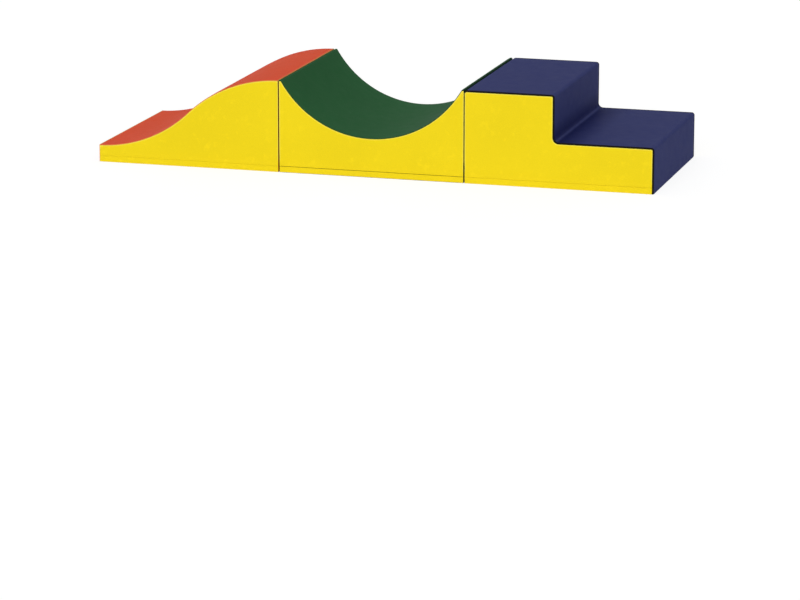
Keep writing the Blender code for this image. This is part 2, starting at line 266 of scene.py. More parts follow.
def valley_line(inset=0.0, wall=0.0, fold=VALLEY_FOLD):
    """The dip between two narrow level lands, with the edge there rounded over by the fold."""
    half_chord = LENGTH / 2 - VALLEY_LAND
    depth = HEIGHT - VALLEY_FLOOR
    radius = (half_chord**2 + depth**2) / (2 * depth)
    centre_z = VALLEY_FLOOR + radius
    top = HEIGHT - inset
    drop = centre_z - top + fold
    fold_x = math.sqrt((radius + inset + fold) ** 2 - drop**2)
    slope = math.atan2(drop, fold_x)
    left = arc((-fold_x, top - fold), fold, QUARTER, slope)
    dip = arc((0, centre_z), radius + inset, slope - 2 * QUARTER, -slope)
    right = arc((fold_x, top - fold), fold, 2 * QUARTER - slope, QUARTER)
    end = LENGTH / 2 - wall
    return refined([(-end, top)] + left + dip[1:] + right[1:] + [(end, top)])


def steps_line(inset=0.0, wall=0.0, foot=0.0):
    """From foot up the tall end, over both treads, and down the low end to foot."""
    end = LENGTH / 2 - wall
    riser = UPPER_TREAD - LENGTH / 2 - inset
    upper = HEIGHT - inset
    lower = LOWER_STEP - inset
    corners = [(-end, foot), (-end, upper), (riser, upper), (riser, lower), (end, lower), (end, foot)]
    edge = EDGE_RADIUS - inset
    return refined(rounded(corners, [edge, edge, FOOT_RADIUS + inset, edge]))


def closed_down(line, foot):
    """The line closed into an outline that goes down at both ends, and back along foot."""
    ends = [Vector((line[0].x, foot)), Vector((line[-1].x, foot))]
    return refined([ends[0]] + line + [ends[1], ends[0]])[:-1]


def ways_out(line, closed):
    """At each point of a line, the way to its left, long enough to keep moved stretches parallel."""
    ways = []
    for i, here in enumerate(line):
        steps = []
        if closed or i > 0:
            steps.append((here - line[i - 1]).normalized())
        if closed or i < len(line) - 1:
            steps.append((line[(i + 1) % len(line)] - here).normalized())
        sides = [Vector((-step.y, step.x)) for step in steps]
        middle = sum(sides, Vector((0, 0))).normalized()
        ways.append(middle / middle.dot(sides[0]))
    return ways


def moved_in(outline, distance):
    return [here - way * distance for here, way in zip(outline, ways_out(outline, True))]


def make_piece(name, points, faces, finish, block, slot, stands_for=()):
    """A mesh piece with its faces turned out, smooth, in its finish, riding on its block."""
    shape = bmesh.new()
    corners = [shape.verts.new(point) for point in points]
    for face in faces:
        kept = list(dict.fromkeys(face))
        if len(kept) > 2:
            shape.faces.new([corners[i] for i in kept])
    bmesh.ops.recalc_face_normals(shape, faces=shape.faces)
    if shape.calc_volume(signed=True) < 0:
        bmesh.ops.reverse_faces(shape, faces=shape.faces)
    mesh = bpy.data.meshes.new(name)
    shape.to_mesh(mesh)
    shape.free()
    mesh.materials.append(finish)
    mesh.shade_smooth()
    piece = bpy.data.objects.new(name, mesh)
    bpy.context.collection.objects.link(piece)
    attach(piece, block)
    if stands_for:
        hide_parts(*stands_for)
    return piece


def principled(name, **values):
    """A new material's node tree and its shader, with the shader's plain values set."""
    material = bpy.data.materials.new(name)
    material.use_nodes = True
    shader = material.node_tree.nodes["Principled BSDF"]
    for key, value in values.items():
        shader.inputs[key.replace("_", " ")].default_value = value
    return material, material.node_tree, shader


def place_of(tree):
    return tree.nodes.new("ShaderNodeTexCoord").outputs["Object"]


def noise(tree, scale, detail=SOFT_DETAIL):
    inputs = {"Vector": place_of(tree), "Scale": scale, "Detail": detail}
    return add_node(tree, "ShaderNodeTexNoise", inputs).outputs["Fac"]


def waves(tree, scale, wander, detail=SOFT_DETAIL, direction="X"):
    inputs = {"Vector": place_of(tree), "Scale": scale, "Distortion": wander, "Detail": detail}
    return add_node(tree, "ShaderNodeTexWave", inputs, bands_direction=direction).outputs["Fac"]


def remap(tree, value, span, result=(0.0, 1.0)):
    """A value's stretch over the span, turned into the result's and held there."""
    ends = dict(zip(("From Min", "From Max", "To Min", "To Max"), span + result))
    return add_node(tree, "ShaderNodeMapRange", {"Value": value, **ends}).outputs["Result"]


def blended(tree, share, first, second):
    """A colour between two, each a plain colour or another node's output."""
    return add_node(tree, "ShaderNodeMix", {0: share, 6: first, 7: second}, data_type="RGBA").outputs[2]


def bumped(tree, height, distance, below=None):
    """A bump of that height in metres, on top of another if there is one."""
    inputs = {"Height": height, "Strength": 1.0, "Distance": distance}
    if below is not None:
        inputs["Normal"] = below
    return add_node(tree, "ShaderNodeBump", inputs).outputs["Normal"]


def dressed(tree, shader, **looks):
    """Ties a shader's colour, roughness or relief to what other nodes give."""
    for key, source in looks.items():
        tree.links.new(source, shader.inputs[key.replace("_", " ")])


def cut_foam():
    material, tree, shader = principled("cut_foam", Roughness=FOAM_ROUGHNESS, Specular_IOR_Level=FOAM_GLOSS)
    cells = noise(tree, FOAM_CELL_SCALE, FINE_DETAIL)
    lines = waves(tree, DRAG_LINE_SCALE, DRAG_LINE_WANDER)
    colour = blended(tree, remap(tree, cells, FOAM_CELL_SPAN), FOAM_COLOUR, FOAM_DARK)
    relief = bumped(tree, lines, DRAG_LINE_DEPTH, bumped(tree, cells, FOAM_CELL_DEPTH))
    dressed(tree, shader, Base_Color=colour, Normal=relief)
    return material


def faces_between(lower, upper):
    """The four-sided faces between two closed rows of as many points each."""
    pairs = list(zip(lower, upper))
    return [(a, b, d, c) for (a, c), (b, d) in zip(pairs, pairs[1:] + pairs[:1])]


def stacked(count, layers):
    """The numbers of the points in closed rows of count points each, one row for each layer."""
    return [range(layer * count, (layer + 1) * count) for layer in range(layers)]


def filled(outline):
    """Triangles between the points of a closed outline."""
    ring = [(i, (i + 1) % len(outline)) for i in range(len(outline))]
    _, _, cells, origins, _, _ = delaunay_2d_cdt(outline, ring, [], 1, SAME_POINT)
    return [tuple(origins[i][0] for i in cell) for cell in cells]


def cleared(outline, reach):
    """The outline without the points that lie too near a square corner to be moved in past it."""
    corners = []
    for i, here in enumerate(outline):
        step = (here - outline[i - 1]).normalized()
        if step.dot((outline[(i + 1) % len(outline)] - here).normalized()) < SQUARE_TURN:
            corners.append(here)
    return [p for p in outline if all(p is corner or (p - corner).length > reach for corner in corners)]


def zip_room(block, outline):
    """The hollow cut in the foam's underside for the zip's well. Moves the nearest underside points of
    the outline to the well's ends, and gives half its width, the height of its ceiling, and the
    outline's points over it, in order."""
    tape = box_sides(f"{block}_zip_tape_back")
    half_x = tape[0][1] - CENTRE[block] + ROOM_END_GAP
    underside = [i for i, point in enumerate(outline) if point.y < SEAT + PIECE_GAP]
    for end in (-half_x, half_x):
        outline[min(underside, key=lambda i: abs(outline[i].x - end))].x = end
    over = [i for i in underside if abs(outline[i].x) < half_x + PIECE_GAP]
    over.sort(key=lambda i: outline[i].x)
    return tape[1][1] + ROOM_SIDE_GAP, tape[2][1] + PIECE_GAP, over


def hollowed(points, faces, front, count, ceiling, over):
    """The walls and ceiling of the zip's hollow, between the slice that starts at the point front
    and the next one."""
    first = len(points)
    for start in (front, front + count):
        points += [(points[start + i][0], points[start + i][1], ceiling) for i in over]
    for k in range(len(over) - 1):
        high = first + k
        faces.append((high, high + 1, high + 1 + len(over), high + len(over)))
        for start, top in ((front, high), (front + count, high + len(over))):
            faces.append((start + over[k], start + over[k + 1], top + 1, top))
    for k in (0, len(over) - 1):
        faces.append((front + over[k], front + count + over[k], first + len(over) + k, first + k))


def foam_core(name, node, outline, block, finish, on_floor):
    """Foam the width of the block inside its cover, with its long edges rounded."""
    half = WIDTH / 2 - SEAT
    edge = CORE_EDGE[block]
    outline = cleared(outline, edge)
    steps = [QUARTER * i / CORE_EDGE_STEPS for i in range(CORE_EDGE_STEPS + 1)]
    slices = [(-half + edge * (1 - math.sin(a)), edge * (1 - math.cos(a))) for a in reversed(steps)]
    over = []
    if on_floor:
        room_y, ceiling, over = zip_room(block, outline)
        slices.append((-room_y, 0.0))
    slices += [(-y, inset) for y, inset in reversed(slices)]
    points = []
    for y, inset in slices:
        points += [(CENTRE[block] + p.x, y, p.y) for p in moved_in(outline, inset)]
    count = len(outline)
    last = len(points) - count
    faces = []
    for cell in filled(moved_in(outline, slices[0][1])):
        faces += [cell, tuple(last + i for i in cell)]
    middle = len(slices) // 2 - 1
    rows = stacked(count, len(slices))
    for layer in range(len(slices) - 1):
        open_to = {rows[layer][i] for i in over} if layer == middle else set()
        walls = faces_between(rows[layer], rows[layer + 1])
        faces += [wall for wall in walls if not set(wall[:2]) <= open_to]
    if on_floor:
        hollowed(points, faces, middle * count, count, ceiling, over)
    core = make_piece(name, points, faces, finish, block, "foam", [node])


foam = cut_foam()
for block, line in (("ramp", ramp_line(SEAT, SEAT)), ("valley", valley_line(SEAT, SEAT, CORE_FOLD))):
    foam_core(f"{block}_cut_foam", f"{block}_foam_core", closed_down(line, SEAT), block, foam, True)
slab_end = LENGTH / 2 - SEAT
slab_riser = UPPER_TREAD - LENGTH / 2 - SEAT
slab_edge = EDGE_RADIUS - SEAT
lower_top = box_sides("steps_lower_slab")[2][1]
upper_foot = box_sides("steps_upper_slab")[2][0]
upper_top = box_sides("steps_upper_slab")[2][1]
lower = [(-slab_end, SEAT)]
lower += rounded([(-slab_end, lower_top), (slab_end, lower_top), (slab_end, SEAT)], [slab_edge])
upper = [(-slab_end, upper_foot), (-slab_end, upper_top), (slab_riser, upper_top), (slab_riser, upper_foot)]
upper = rounded(upper, [slab_edge, slab_edge])
for place, slab in (("lower", lower), ("upper", upper)):
    outline = refined(slab + slab[:1])[:-1]
    foam_core(f"steps_{place}_cut_foam", f"steps_{place}_slab", outline, "steps", foam, place == "lower")

# Covers over the top
# Reinforced vinyl with a fine leather grain: orange over the ramp's wave, green over the valley's
# dip and blue round the steps. Each sheet is sewn inside out, so its edge rolls into the seam.
TOP_VINYL = {"ramp": "orange_vinyl", "valley": "green_vinyl", "steps": "blue_vinyl"}
BASE_LINE = {"ramp": 0.0006, "valley": 0.0012, "steps": 0.0004}
RIM_CLEARANCE = 0.6 * GRID
ROLL = 0.0005
GROOVE = {"ramp": 0.0020, "valley": 0.0022, "steps": 0.0064}
TIGHT_GROOVE = 0.0002
LEAN = {("ramp", 1): 0.0003, ("valley", -1): 0.0003, ("valley", 1): 0.0005, ("steps", -1): 0.0005}
LEAN_REACH = 0.030
LEAN_FOOT = 0.050
# Painted shade, darkening the tops' colour where shade falls: in the gaps between blocks, on the valley's
# land and slope, and in the steps' inner corner.
SHADE_REACH = 0.012
SHADE_BETWEEN_BLOCKS = 0.85
SHADE_LAND = 0.50
SHADE_SLOPE = 0.12
SHADE_SLOPE_SPAN = (LENGTH / 8, LENGTH / 3)
SHADE_FOOT = 0.85
# Along this thin line in the corner's foot the painted shade is lifted, leaving a lighter line.
FOOT_LINE = 0.0070
FOOT_LINE_SOFT = 0.0018
FOOT_LINE_LIFT = 0.80
FOOT_REACH = 0.060
FOOT_SPREAD = 1.8
# Height above which the seams' painted highlight fades in.
SEAM_HIGHLIGHT_FROM = 0.024
ROLL_STEPS = 6
ROLL_TURN = math.radians(135)
ROLL_REACH = 1 + math.sqrt(2)
CROWN = 0.0009
CROWN_REACH = 0.030
PUCKER = 0.00035
PUCKER_REACH = 0.011
PUCKER_PITCH = 0.017
PUCKER_ROW = 7.3
PUCKER_SHEET = 31
SWELL_ROUNDS = 220
SWELL_UNEVEN = 0.6
SWELL_SCALE = 9
# Each vinyl's colour, its painted highlight on the seams' rolls (on the blue a touch darker, painted shade)
# and its painted shade colour.
VINYL_COLOURS = {
    "orange_vinyl": ((0.905, 0.110, 0.046), (0.950, 0.180, 0.080), (0.060, 0.016, 0.004)),
    "green_vinyl": ((0.024, 0.117, 0.040), (0.026, 0.122, 0.044), (0.003, 0.018, 0.009)),
    "blue_vinyl": ((0.040, 0.049, 0.166), (0.038, 0.047, 0.158), (0.002, 0.005, 0.062)),
}
# How far from the seam the painted highlight reaches.
SEAM_HIGHLIGHT_REACH = 0.0035
VINYL_ROUGHNESS = (0.58, 0.64)
VINYL_GLOSS = 0.016
VINYL_WORN_SCALE = 30.0
MOTTLE_SCALE = 5.0
MOTTLE_SPAN = (0.30, 0.70)
MOTTLE_DEEP = 0.96
SCUFF_SCALE = 55.0
SCUFF_DETAIL = 5.0
SCUFF_SPAN = (0.58, 0.72)
SCUFF_LIFT = 1.03
SCUFF_HAZE = 0.001
GRAIN_SCALE = 1150.0
GRAIN_SPAN = (0.15, 0.55)
GRAIN_HEIGHT = 0.00005
# Colour factors for the grain's painted light on the raised pebbles and painted shade in the hollows.
GRAIN_RELIEF_SHADING = (1.068, 0.952)
CREASE_SCALE = 240.0
CREASE_HEIGHT = 0.00001


def rolled_edge(block):
    """How a sheet turns into its seam: at each step, the way in from the edge and the depth."""
    flat = ROLL_REACH * ROLL + GROOVE[block] / math.sqrt(2)
    turns = [ROLL_TURN * (1 - i / ROLL_STEPS) for i in range(ROLL_STEPS + 1)]
    return [(flat - ROLL * math.sin(a), ROLL * (1 - math.cos(a))) for a in turns]


def joint_share(block, x):
    """1 at an end that stands against the next block, and 0 from a step's rounded edge inwards."""
    if (block, int(math.copysign(1, x))) not in LEAN:
        return 0.0
    return max(0.0, 1 - max(0.0, LENGTH / 2 - abs(x)) / EDGE_RADIUS)


def tightened(block, x):
    """How much further out a sheet is sewn where two blocks meet, so that the seam there is tight."""
    return joint_share(block, x) * (GROOVE[block] - TIGHT_GROOVE) / math.sqrt(2)


def eased(value, low, high):
    share = min(1.0, max(0.0, (value - low) / (high - low)))
    return share * share * (3 - 2 * share)


def leaning(block, point):
    """Above the strips that hold two blocks apart, their covers swell a little towards each other."""
    x = point.x - CENTRE[block]
    side = int(math.copysign(1, x))
    reach = LEAN.get((block, side), 0.0)
    near = eased(abs(x), LENGTH / 2 - LEAN_REACH, LENGTH / 2)
    above = eased(point.z, LEAN_FOOT, LEAN_FOOT + LEAN_REACH)
    return point + Vector((side * reach * near * above, 0, 0))


def toned(colour, share=1.0, haze=0.0):
    """A colour made lighter or darker, no lighter than white, with nothing seen through it."""
    return (*(min(1.0, c * share + haze) for c in colour), 1.0)


def vinyl(name, colour, seam_highlight_colour, painted_shade_colour):
    """Coated fabric: a pebbled leather grain over fine creases, slightly uneven in colour, with a painted
    highlight on the seams' rolls, painted shade in gaps and corners, and painted light and shade on the
    grain."""
    material, tree, shader = principled(name, Specular_IOR_Level=VINYL_GLOSS)
    seam = add_node(tree, "ShaderNodeAttribute", attribute_name="seam_distance").outputs["Fac"]
    # Painted shade share at each point, from the point attribute that the sheet sets.
    corner = add_node(tree, "ShaderNodeAttribute", attribute_name="painted_shade_share").outputs["Fac"]
    mottle = remap(tree, noise(tree, MOTTLE_SCALE, 1.0), MOTTLE_SPAN)
    scuffs = remap(tree, noise(tree, SCUFF_SCALE, SCUFF_DETAIL), SCUFF_SPAN)
    # Painted highlight along the seams' rolls, fading out within a few millimetres of the seam.
    highlight_share = remap(tree, seam, (0.0, SEAM_HIGHLIGHT_REACH), (1.0, 0.0))
    shade = blended(tree, mottle, toned(colour, MOTTLE_DEEP), toned(colour))
    shade = blended(tree, scuffs, shade, toned(colour, SCUFF_LIFT, SCUFF_HAZE))
    shade = blended(tree, highlight_share, shade, toned(seam_highlight_colour))
    # Painted shade in the gaps between blocks, on the valley's land and in the steps' inner corner.
    shade = blended(tree, corner, shade, toned(painted_shade_colour))
    worn = remap(tree, noise(tree, VINYL_WORN_SCALE), MOTTLE_SPAN, VINYL_ROUGHNESS)
    inputs = {"Vector": place_of(tree), "Scale": GRAIN_SCALE}
    grain = add_node(tree, "ShaderNodeTexVoronoi", inputs, feature="SMOOTH_F1").outputs["Distance"]
    # Painted light and shade of the grain: lighter on the raised pebbles, darker in the hollows between
    # them.
    inputs = {0: shade, "Scale": remap(tree, grain, GRAIN_SPAN, GRAIN_RELIEF_SHADING)}
    relief_shaded = add_node(tree, "ShaderNodeVectorMath", inputs, operation="SCALE").outputs[0]
    creases = bumped(tree, noise(tree, CREASE_SCALE, FINE_DETAIL), CREASE_HEIGHT)
    relief = bumped(tree, combined(tree, "SUBTRACT", 1.0, grain), GRAIN_HEIGHT, creases)
    dressed(tree, shader, Base_Color=relief_shaded, Roughness=worn, Normal=relief)
    return material


def nearest_of(places):
    """A search for the nearest of several places, which gives it, its number and how far it is."""
    found = KDTree(len(places))
    for i, place in enumerate(places):
        found.insert(place, i)
    found.balance()
    return found.find


def swelling(base, edges, rim):
    """How far each point of a taut sheet stands out: the foam's swell, held down all round the rim,
    less small puckers that run in from the rim's stitches."""
    count = len(base)
    held = np.zeros(count, bool)
    held[list(rim)] = True
    ends = np.array(edges)
    links = np.bincount(ends.ravel(), minlength=count)
    swell = np.zeros(count)
    push = np.array([1 + SWELL_UNEVEN * gentle.noise(point * SWELL_SCALE) for point in base])
    give = (GRID / CROWN_REACH) ** 2
    for _ in range(SWELL_ROUNDS):
        total = np.bincount(ends[:, 0], swell[ends[:, 1]], count)
        total += np.bincount(ends[:, 1], swell[ends[:, 0]], count)
        swell = (total / np.maximum(links, 1) + give * push) / (1 + give)
        swell[held] = 0
    nearest_stitch = nearest_of([base[i] for i in rim])
    heights = []
    for point, height in zip(base, swell):
        _, step, distance = nearest_stitch(point)
        wave = gentle.noise(Vector((step * GRID / PUCKER_PITCH, PUCKER_ROW, base[rim[0]].x * PUCKER_SHEET)))
        dent = PUCKER * abs(wave) * (distance / PUCKER_REACH) * math.exp(1 - distance / PUCKER_REACH)
        heights.append((CROWN * height - dent, distance))
    return heights


def no_painted_shade(point, distance):
    return 0.0


def sewn_sheet(name, node, points, faces, loose, rim, swells, block, slot, painted_shade_at):
    """A sheet from its rolled mesh: loose says, for each point that is held by no seam, which way is
    out, swells whether the foam has room to swell there, and the last argument how much painted shade
    a place gets, from where it is and how far from the seam."""
    edges = set()
    for face in faces:
        for a, b in zip(face, face[1:] + face[:1]):
            if a in loose and b in loose:
                edges.add((min(a, b), max(a, b)))
    order = sorted(loose)
    short = {i: k for k, i in enumerate(order)}
    base = [points[i] for i in order]
    heights = swelling(base, [(short[a], short[b]) for a, b in sorted(edges)], [short[i] for i in rim])
    distances = np.zeros(len(points))
    for i, (height, distance) in zip(order, heights):
        free = 1 - joint_share(block, points[i].x - CENTRE[block])
        points[i] = points[i] + loose[i] * height * swells * free
        distances[i] = distance
    # Low on the sheets each seam distance is pushed out by the highlight's reach, so the hem seam gets no
    # painted highlight.
    for i, point in enumerate(points):
        distances[i] += SEAM_HIGHLIGHT_REACH * (1 - eased(point.z, SEAM_HIGHLIGHT_FROM, 2 * SEAM_HIGHLIGHT_FROM))
    home = Vector((CENTRE[block], 0, 0))
    # Painted shade share at each point, kept as a point attribute for the vinyl.
    corner = [painted_shade_at(point - home, distance) for point, distance in zip(points, distances)]
    points = [leaning(block, point) for point in points]
    piece = make_piece(name, points, faces, VINYLS[slot], block, slot, [node])
    for field_name, values in (("seam_distance", distances), ("painted_shade_share", corner)):
        field = piece.data.attributes.new(field_name, "FLOAT", "POINT")
        field.data.foreach_set("value", values)


def gone_along(line):
    """How far along a line each of its points lies."""
    gone = [0.0]
    for before, after in zip(line, line[1:]):
        gone.append(gone[-1] + (after - before).length)
    return gone


def grid_faces(long, wide):
    """The four-sided faces of a grid of points, numbered row by row."""
    starts = [i * wide + j for i in range(long - 1) for j in range(wide - 1)]
    return [(k, k + wide, k + wide + 1, k + 1) for k in starts]


def curved_sheet(name, node, line, block, painted_shade_at=no_painted_shade):
    """A sheet as wide as the block that follows a line, rolled into the seams on all four sides."""
    roll = rolled_edge(block)
    flat = roll[-1][0]
    first = len(roll) - 1
    start = (line[1] - line[0]).normalized()
    end = (line[-1] - line[-2]).normalized()
    gone = gone_along(line)
    rows = [(line[0] + start * way, Vector((-start.y, start.x)), depth) for way, depth in roll]
    for point, way, reach in zip(line, ways_out(line, False), gone):
        if flat + GRID / 2 < reach < gone[-1] - flat - GRID / 2:
            rows.append((point, way.normalized(), 0.0))
    rows += [(line[-1] - end * way, Vector((-end.y, end.x)), depth) for way, depth in reversed(roll)]
    count = math.ceil((WIDTH - 2 * flat) / GRID)
    columns = [(way - WIDTH / 2, depth) for way, depth in roll]
    columns += [((WIDTH - 2 * flat) * (i / count - 0.5), 0.0) for i in range(1, count)]
    columns += [(WIDTH / 2 - way, depth) for way, depth in reversed(roll)]
    wide, long = len(columns), len(rows)
    points = []
    loose = {}
    for i, (point, way, row_depth) in enumerate(rows):
        for j, (y, column_depth) in enumerate(columns):
            sunk = point - way * max(row_depth, column_depth)
            if first <= i < long - first and first <= j < wide - first:
                loose[len(points)] = Vector((way.x, 0, way.y))
            outer = tightened(block, point.x) * eased(abs(y), WIDTH / 2 - flat - GRID, WIDTH / 2 - flat)
            points.append(Vector((CENTRE[block] + sunk.x, y + math.copysign(outer, y), sunk.y)))
    faces = grid_faces(long, wide)
    lower = range(first, wide - first)
    right = range(first, long - first)
    rim = [first * wide + j for j in lower] + [i * wide + wide - 1 - first for i in right][1:]
    rim += [(long - 1 - first) * wide + j for j in reversed(lower)][1:]
    rim += [i * wide + first for i in reversed(right)][1:-1]
    backs = {}
    for i in right:
        point, way, _ = rows[i]
        sunk = point - way * COVER
        backs[i] = (len(points), len(points) + 1)
        edge = WIDTH / 2 - flat + tightened(block, point.x)
        points += [Vector((CENTRE[block] + sunk.x, side * edge, sunk.y)) for side in (-1, 1)]
    ends = (right[0], right[-1])
    for i in range(long - 1):
        here, ahead = (backs[min(max(k, ends[0]), ends[1])] for k in (i, i + 1))
        faces.append((i * wide, (i + 1) * wide, ahead[0], here[0]))
        faces.append((i * wide + wide - 1, (i + 1) * wide + wide - 1, ahead[1], here[1]))
        faces.append((here[0], here[1], ahead[1], ahead[0]))
    for i, edge in ((0, ends[0]), (long - 1, ends[1])):
        faces.append((*(i * wide + j for j in range(wide)), backs[edge][1], backs[edge][0]))
    sewn_sheet(name, node, points, faces, loose, rim, True, block, TOP_VINYL[block], painted_shade_at)


def flat_sheet(name, node, outline, place, block, slot, swells=True, painted_shade_at=no_painted_shade):
    """A flat sheet inside an outline, rolled into the seams all round. place turns a point of the
    outline's plane and a depth under the surface into a place on the block."""
    roll = rolled_edge(block)
    outline = cleared(outline, roll[-1][0] + GRID / 4)
    count = len(outline)
    rings = [moved_in(outline, way) for way, _ in roll]
    nearest_edge = nearest_of([(point.x, point.y, 0) for point in rings[-1]])
    xs, ys = [p.x for p in rings[-1]], [p.y for p in rings[-1]]
    inner = []
    for i in range(1, math.ceil((max(xs) - min(xs)) / GRID)):
        for j in range(1, math.ceil((max(ys) - min(ys)) / GRID)):
            spot = Vector((min(xs) + i * GRID, min(ys) + (j + 0.5 * (i % 2)) * GRID))
            if nearest_edge((spot.x, spot.y, 0))[2] > RIM_CLEARANCE:
                inner.append(spot)
    ring = [(i, (i + 1) % count) for i in range(count)]
    net, _, cells, origins, _, _ = delaunay_2d_cdt(rings[-1] + inner, ring, [], 1, SAME_POINT)
    used = sorted({i for cell in cells for i in cell})
    points = [place(point, depth) for rim, (_, depth) in zip(rings[:-1], roll) for point in rim]
    start = len(points)
    home = {old: start + new for new, old in enumerate(used)}
    points += [place(net[old], 0.0) for old in used]
    out = (place(net[0], 0.0) - place(net[0], 1.0)).normalized()
    loose = {home[old]: out for old in used}
    rim = [0] * count
    for old in used:
        for origin in origins[old]:
            if origin < count:
                rim[origin] = home[old]
    faces = [tuple(home[i] for i in cell) for cell in cells]
    layers = stacked(count, len(roll) - 1) + [rim]
    back = len(points)
    points += [place(point, COVER) for point in rings[-1]]
    layers.insert(0, range(back, back + count))
    for lower, upper in zip(layers, layers[1:]):
        faces += faces_between(lower, upper)
    faces += [tuple(back + i for i in cell) for cell in filled(rings[-1])]
    sewn_sheet(name, node, points, faces, loose, rim, swells, block, slot, painted_shade_at)


def crest(block):
    """How far in from an outline the rolled sheet's outermost line lies."""
    return rolled_edge(block)[-1][0] - ROLL


def painted_shade_between_blocks(point, distance):
    """Painted shade on the rim of an end that stands against the next block, where the gap lies in shade."""
    return SHADE_BETWEEN_BLOCKS * max(0.0, 1 - distance / SHADE_REACH)


def painted_shade_on_valley(point, distance):
    """Painted shade on the land that stands against the steps, and a little on the slope up to it."""
    slope = SHADE_SLOPE * eased(point.x, *SHADE_SLOPE_SPAN)
    land = LENGTH / 2 - VALLEY_LAND
    return max(slope, SHADE_LAND * eased(point.x, land - GRID, land))


def painted_shade_on_steps(point, distance):
    """Painted shade on the rim of the tall end and in the inner corner, less along a thin line in the very
    foot of it, so a lighter line shows along the fillet.
    """
    if point.x < 0 and LENGTH / 2 + point.x < EDGE_RADIUS:
        turned = eased(EDGE_RADIUS - LENGTH / 2 - point.x, 0.0, EDGE_RADIUS)
        return max(painted_shade_between_blocks(point, distance), SHADE_LAND) * turned
    reach = math.hypot((point.x - UPPER_TREAD + LENGTH / 2) / FOOT_SPREAD, point.z - LOWER_STEP)
    hollow = 1 - FOOT_LINE_LIFT * eased(FOOT_LINE - reach, 0.0, FOOT_LINE_SOFT)
    return SHADE_FOOT * max(0.0, 1 - reach / FOOT_REACH) * hollow


def rectangle(half, foot, top):
    return refined([(-half, foot), (-half, top), (half, top), (half, foot), (-half, foot)])[:-1]


def end_sheet(name, side, height, block):
    """The upright sheet at the left end, side -1, or the right, side 1."""
    foot = BASE_LINE[block] - crest(block)
    edge = WIDTH / 2 + tightened(block, side * LENGTH / 2)
    outline = rectangle(edge, foot, height)

    def place(point, depth):
        return Vector((CENTRE[block] + side * (LENGTH / 2 - depth), point.x, point.y))

    free = (block, side) not in LEAN
    # Ends that stand against the next block get painted shade on their rim.
    painted_shade_at = no_painted_shade if free else painted_shade_between_blocks
    slot = TOP_VINYL[block]
    flat_sheet(f"{name}_cover", f"{name}_panel", outline, place, block, slot, free, painted_shade_at)


VINYLS = {slot: vinyl(slot, *colours) for slot, colours in VINYL_COLOURS.items()}
curved_sheet("ramp_wave_cover", "ramp_top_panel", ramp_line(), "ramp")
end_sheet("ramp_low_end", -1, RAMP_LOW, "ramp")
end_sheet("ramp_tall_end", 1, HEIGHT, "ramp")
curved_sheet("valley_dip_cover", "valley_top_panel", valley_line(), "valley", painted_shade_on_valley)
end_sheet("valley_left_end", -1, HEIGHT, "valley")
end_sheet("valley_right_end", 1, HEIGHT, "valley")
band = steps_line(foot=BASE_LINE["steps"] - crest("steps"))
curved_sheet("steps_tread_cover", "steps_band", band, "steps", painted_shade_on_steps)

# Side covers
# Plain yellow vinyl, cut to the block's outline and sewn to the covers over the top. A hem strip of
# the same vinyl is sewn on 20 mm above the floor, so each long side has a fine seam line there.
YELLOW = (0.879, 0.680, 0.0137)
# Painted highlight on the yellow sheets' rolled seam edges.
YELLOW_SEAM_HIGHLIGHT = (0.930, 0.800, 0.090)
SIDES = (("front", -1), ("back", 1))


def side_sheet(name, node, side, outline, block):
    outline = [Vector((p.x + math.copysign(tightened(block, p.x), p.x), p.y)) for p in outline]

    def place(point, depth):
        return Vector((CENTRE[block] + point.x, side * (WIDTH / 2 - depth), point.y))

    flat_sheet(name, node, outline, place, block, "yellow_vinyl")


VINYLS["yellow_vinyl"] = vinyl("yellow_vinyl", YELLOW, YELLOW_SEAM_HIGHLIGHT, YELLOW)
SIDE_LINES = {"ramp": ramp_line(), "valley": valley_line(), "steps": steps_line(foot=LOWER_STEP / 2)}
SEAM = {}
OPENING = {}
for block in BLOCKS:
    hem_top = box_sides(f"{block}_hem_strip_front")[2][1]
    panel_foot = box_sides(f"{block}_side_panel_front")[2][0]
    SEAM[block] = (hem_top + panel_foot) / 2
    OPENING[block] = panel_foot - hem_top
    panel = closed_down(SIDE_LINES[block], panel_foot - crest(block))
    top = hem_top + crest(block)
    foot = BASE_LINE[block] - crest(block)
    hem = rectangle(LENGTH / 2, foot, top)
    for place_name, side in SIDES:
        for sheet, node, outline in (("side_cover", "side_panel", panel), ("hem", "hem_strip", hem)):
            side_sheet(f"{block}_{sheet}_{place_name}", f"{block}_{node}_{place_name}", side, outline, block)

# Seams
# The sheets are sewn together inside out with bonded thread and turned. Down between the two rolled
# edges a seam tape shows, with the thread's rungs across it, one every 4.5 mm. Round the steps the
# tape stands up as a welt to the sheets' faces. The tapes' and threads' colours are painted shade, the
# shade down in each groove; the trim on the ramp's end edges is a painted highlight.
TAPE_THICKNESS = 0.0004
TAPE_OVERLAP = 0.0004
TAPE_CREASES = (-1.0, -0.6, 0.0, 0.6, 1.0)
WELT_RISE = {"ramp": 0.0, "valley": 0.0, "steps": 0.0048}
TRIM_RISE = {"ramp": 0.0024, "valley": 0.0012}
